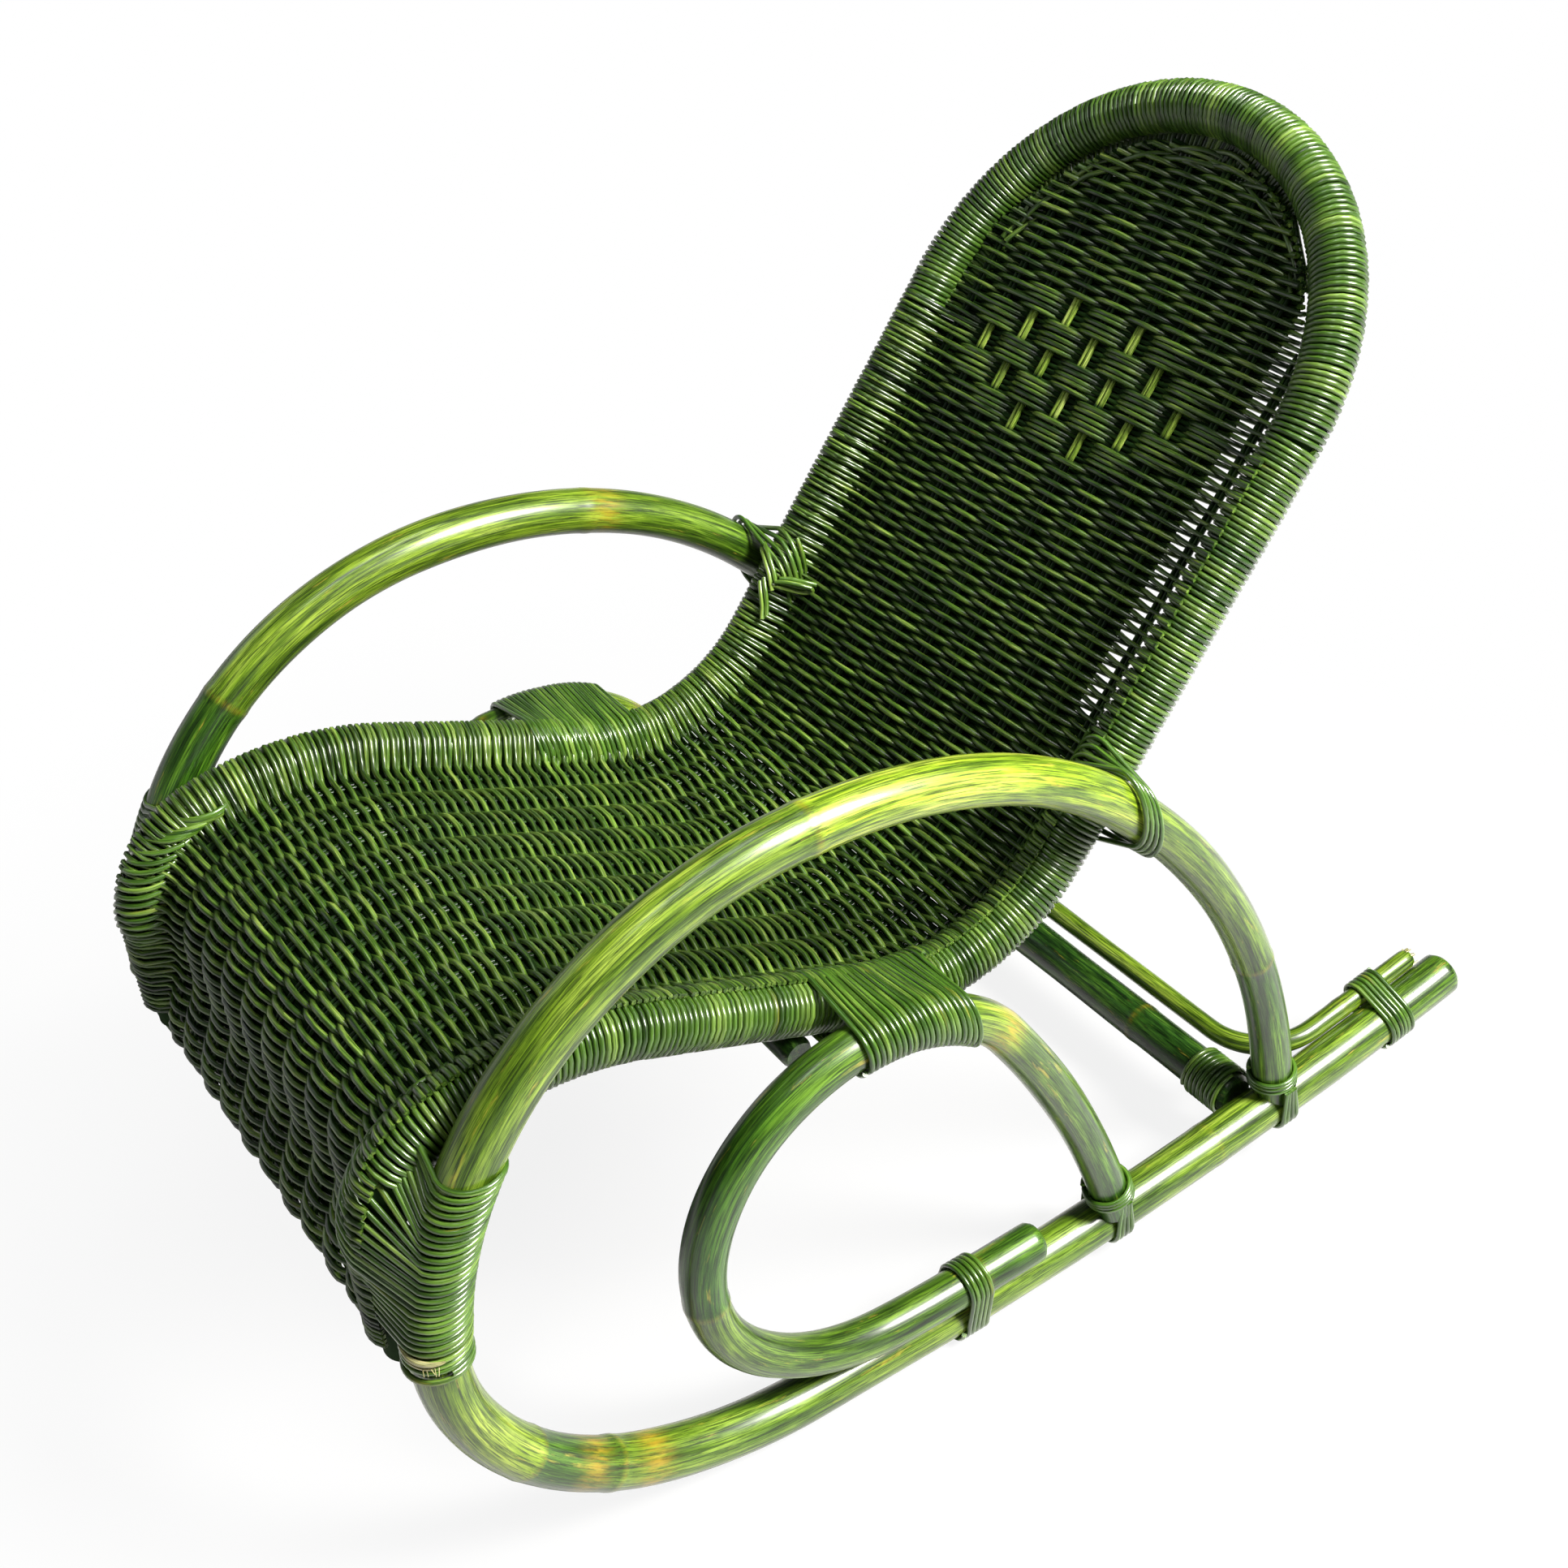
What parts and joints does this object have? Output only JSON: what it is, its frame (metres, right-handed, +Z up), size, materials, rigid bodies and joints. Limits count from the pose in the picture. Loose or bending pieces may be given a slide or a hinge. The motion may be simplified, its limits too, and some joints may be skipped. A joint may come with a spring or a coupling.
{
  "type": "rocking chair",
  "caption": "Rocking chair of bent rattan poles with round arms, wound rails, a woven sling seat and back, and cane lashings at its joints.",
  "frame": {"origin": "centre of the outline on the floor, in the chair's rest pose", "axes": "+Z up, -Y the way the sitter faces, +X to the sitter's left"},
  "size_m": [0.5524, 1.0601, 0.8846],
  "materials": {
    "pole": "gloss",
    "bar": "gloss",
    "cane": "satin",
    "lashing": "satin"
  },
  "bodies": {
    "root": {"left_side_pole": "pole", "right_side_pole": "pole", "left_seat_loop": "pole", "right_seat_loop": "pole", "hoop_pole": "bar", "left_rim_winding": "cane", "right_rim_winding": "cane", "crown_rim_winding": "cane", "seat_weave": "cane", "crown_weave": "cane", "stakes": "bar", "front_crossbar": "bar", "seat_crossbar": "bar", "rear_crossbar": "bar", "rear_brace": "bar", "left_leg_winding": "cane", "right_leg_winding": "cane", "left_rail_binding": "cane", "right_rail_binding": "cane", "left_tail_lashing": "lashing", "right_tail_lashing": "lashing", "left_loop_end_lashing": "lashing", "right_loop_end_lashing": "lashing", "left_bar_lashing": "lashing", "right_bar_lashing": "lashing", "left_arm_lashing": "lashing", "right_arm_lashing": "lashing", "left_leg_collar": "lashing", "right_leg_collar": "lashing", "left_leg_strap": "lashing", "right_leg_strap": "lashing", "left_loop_collar": "lashing", "right_loop_collar": "lashing", "left_loop_strap": "lashing", "right_loop_strap": "lashing"}
  },
  "joints": []
}
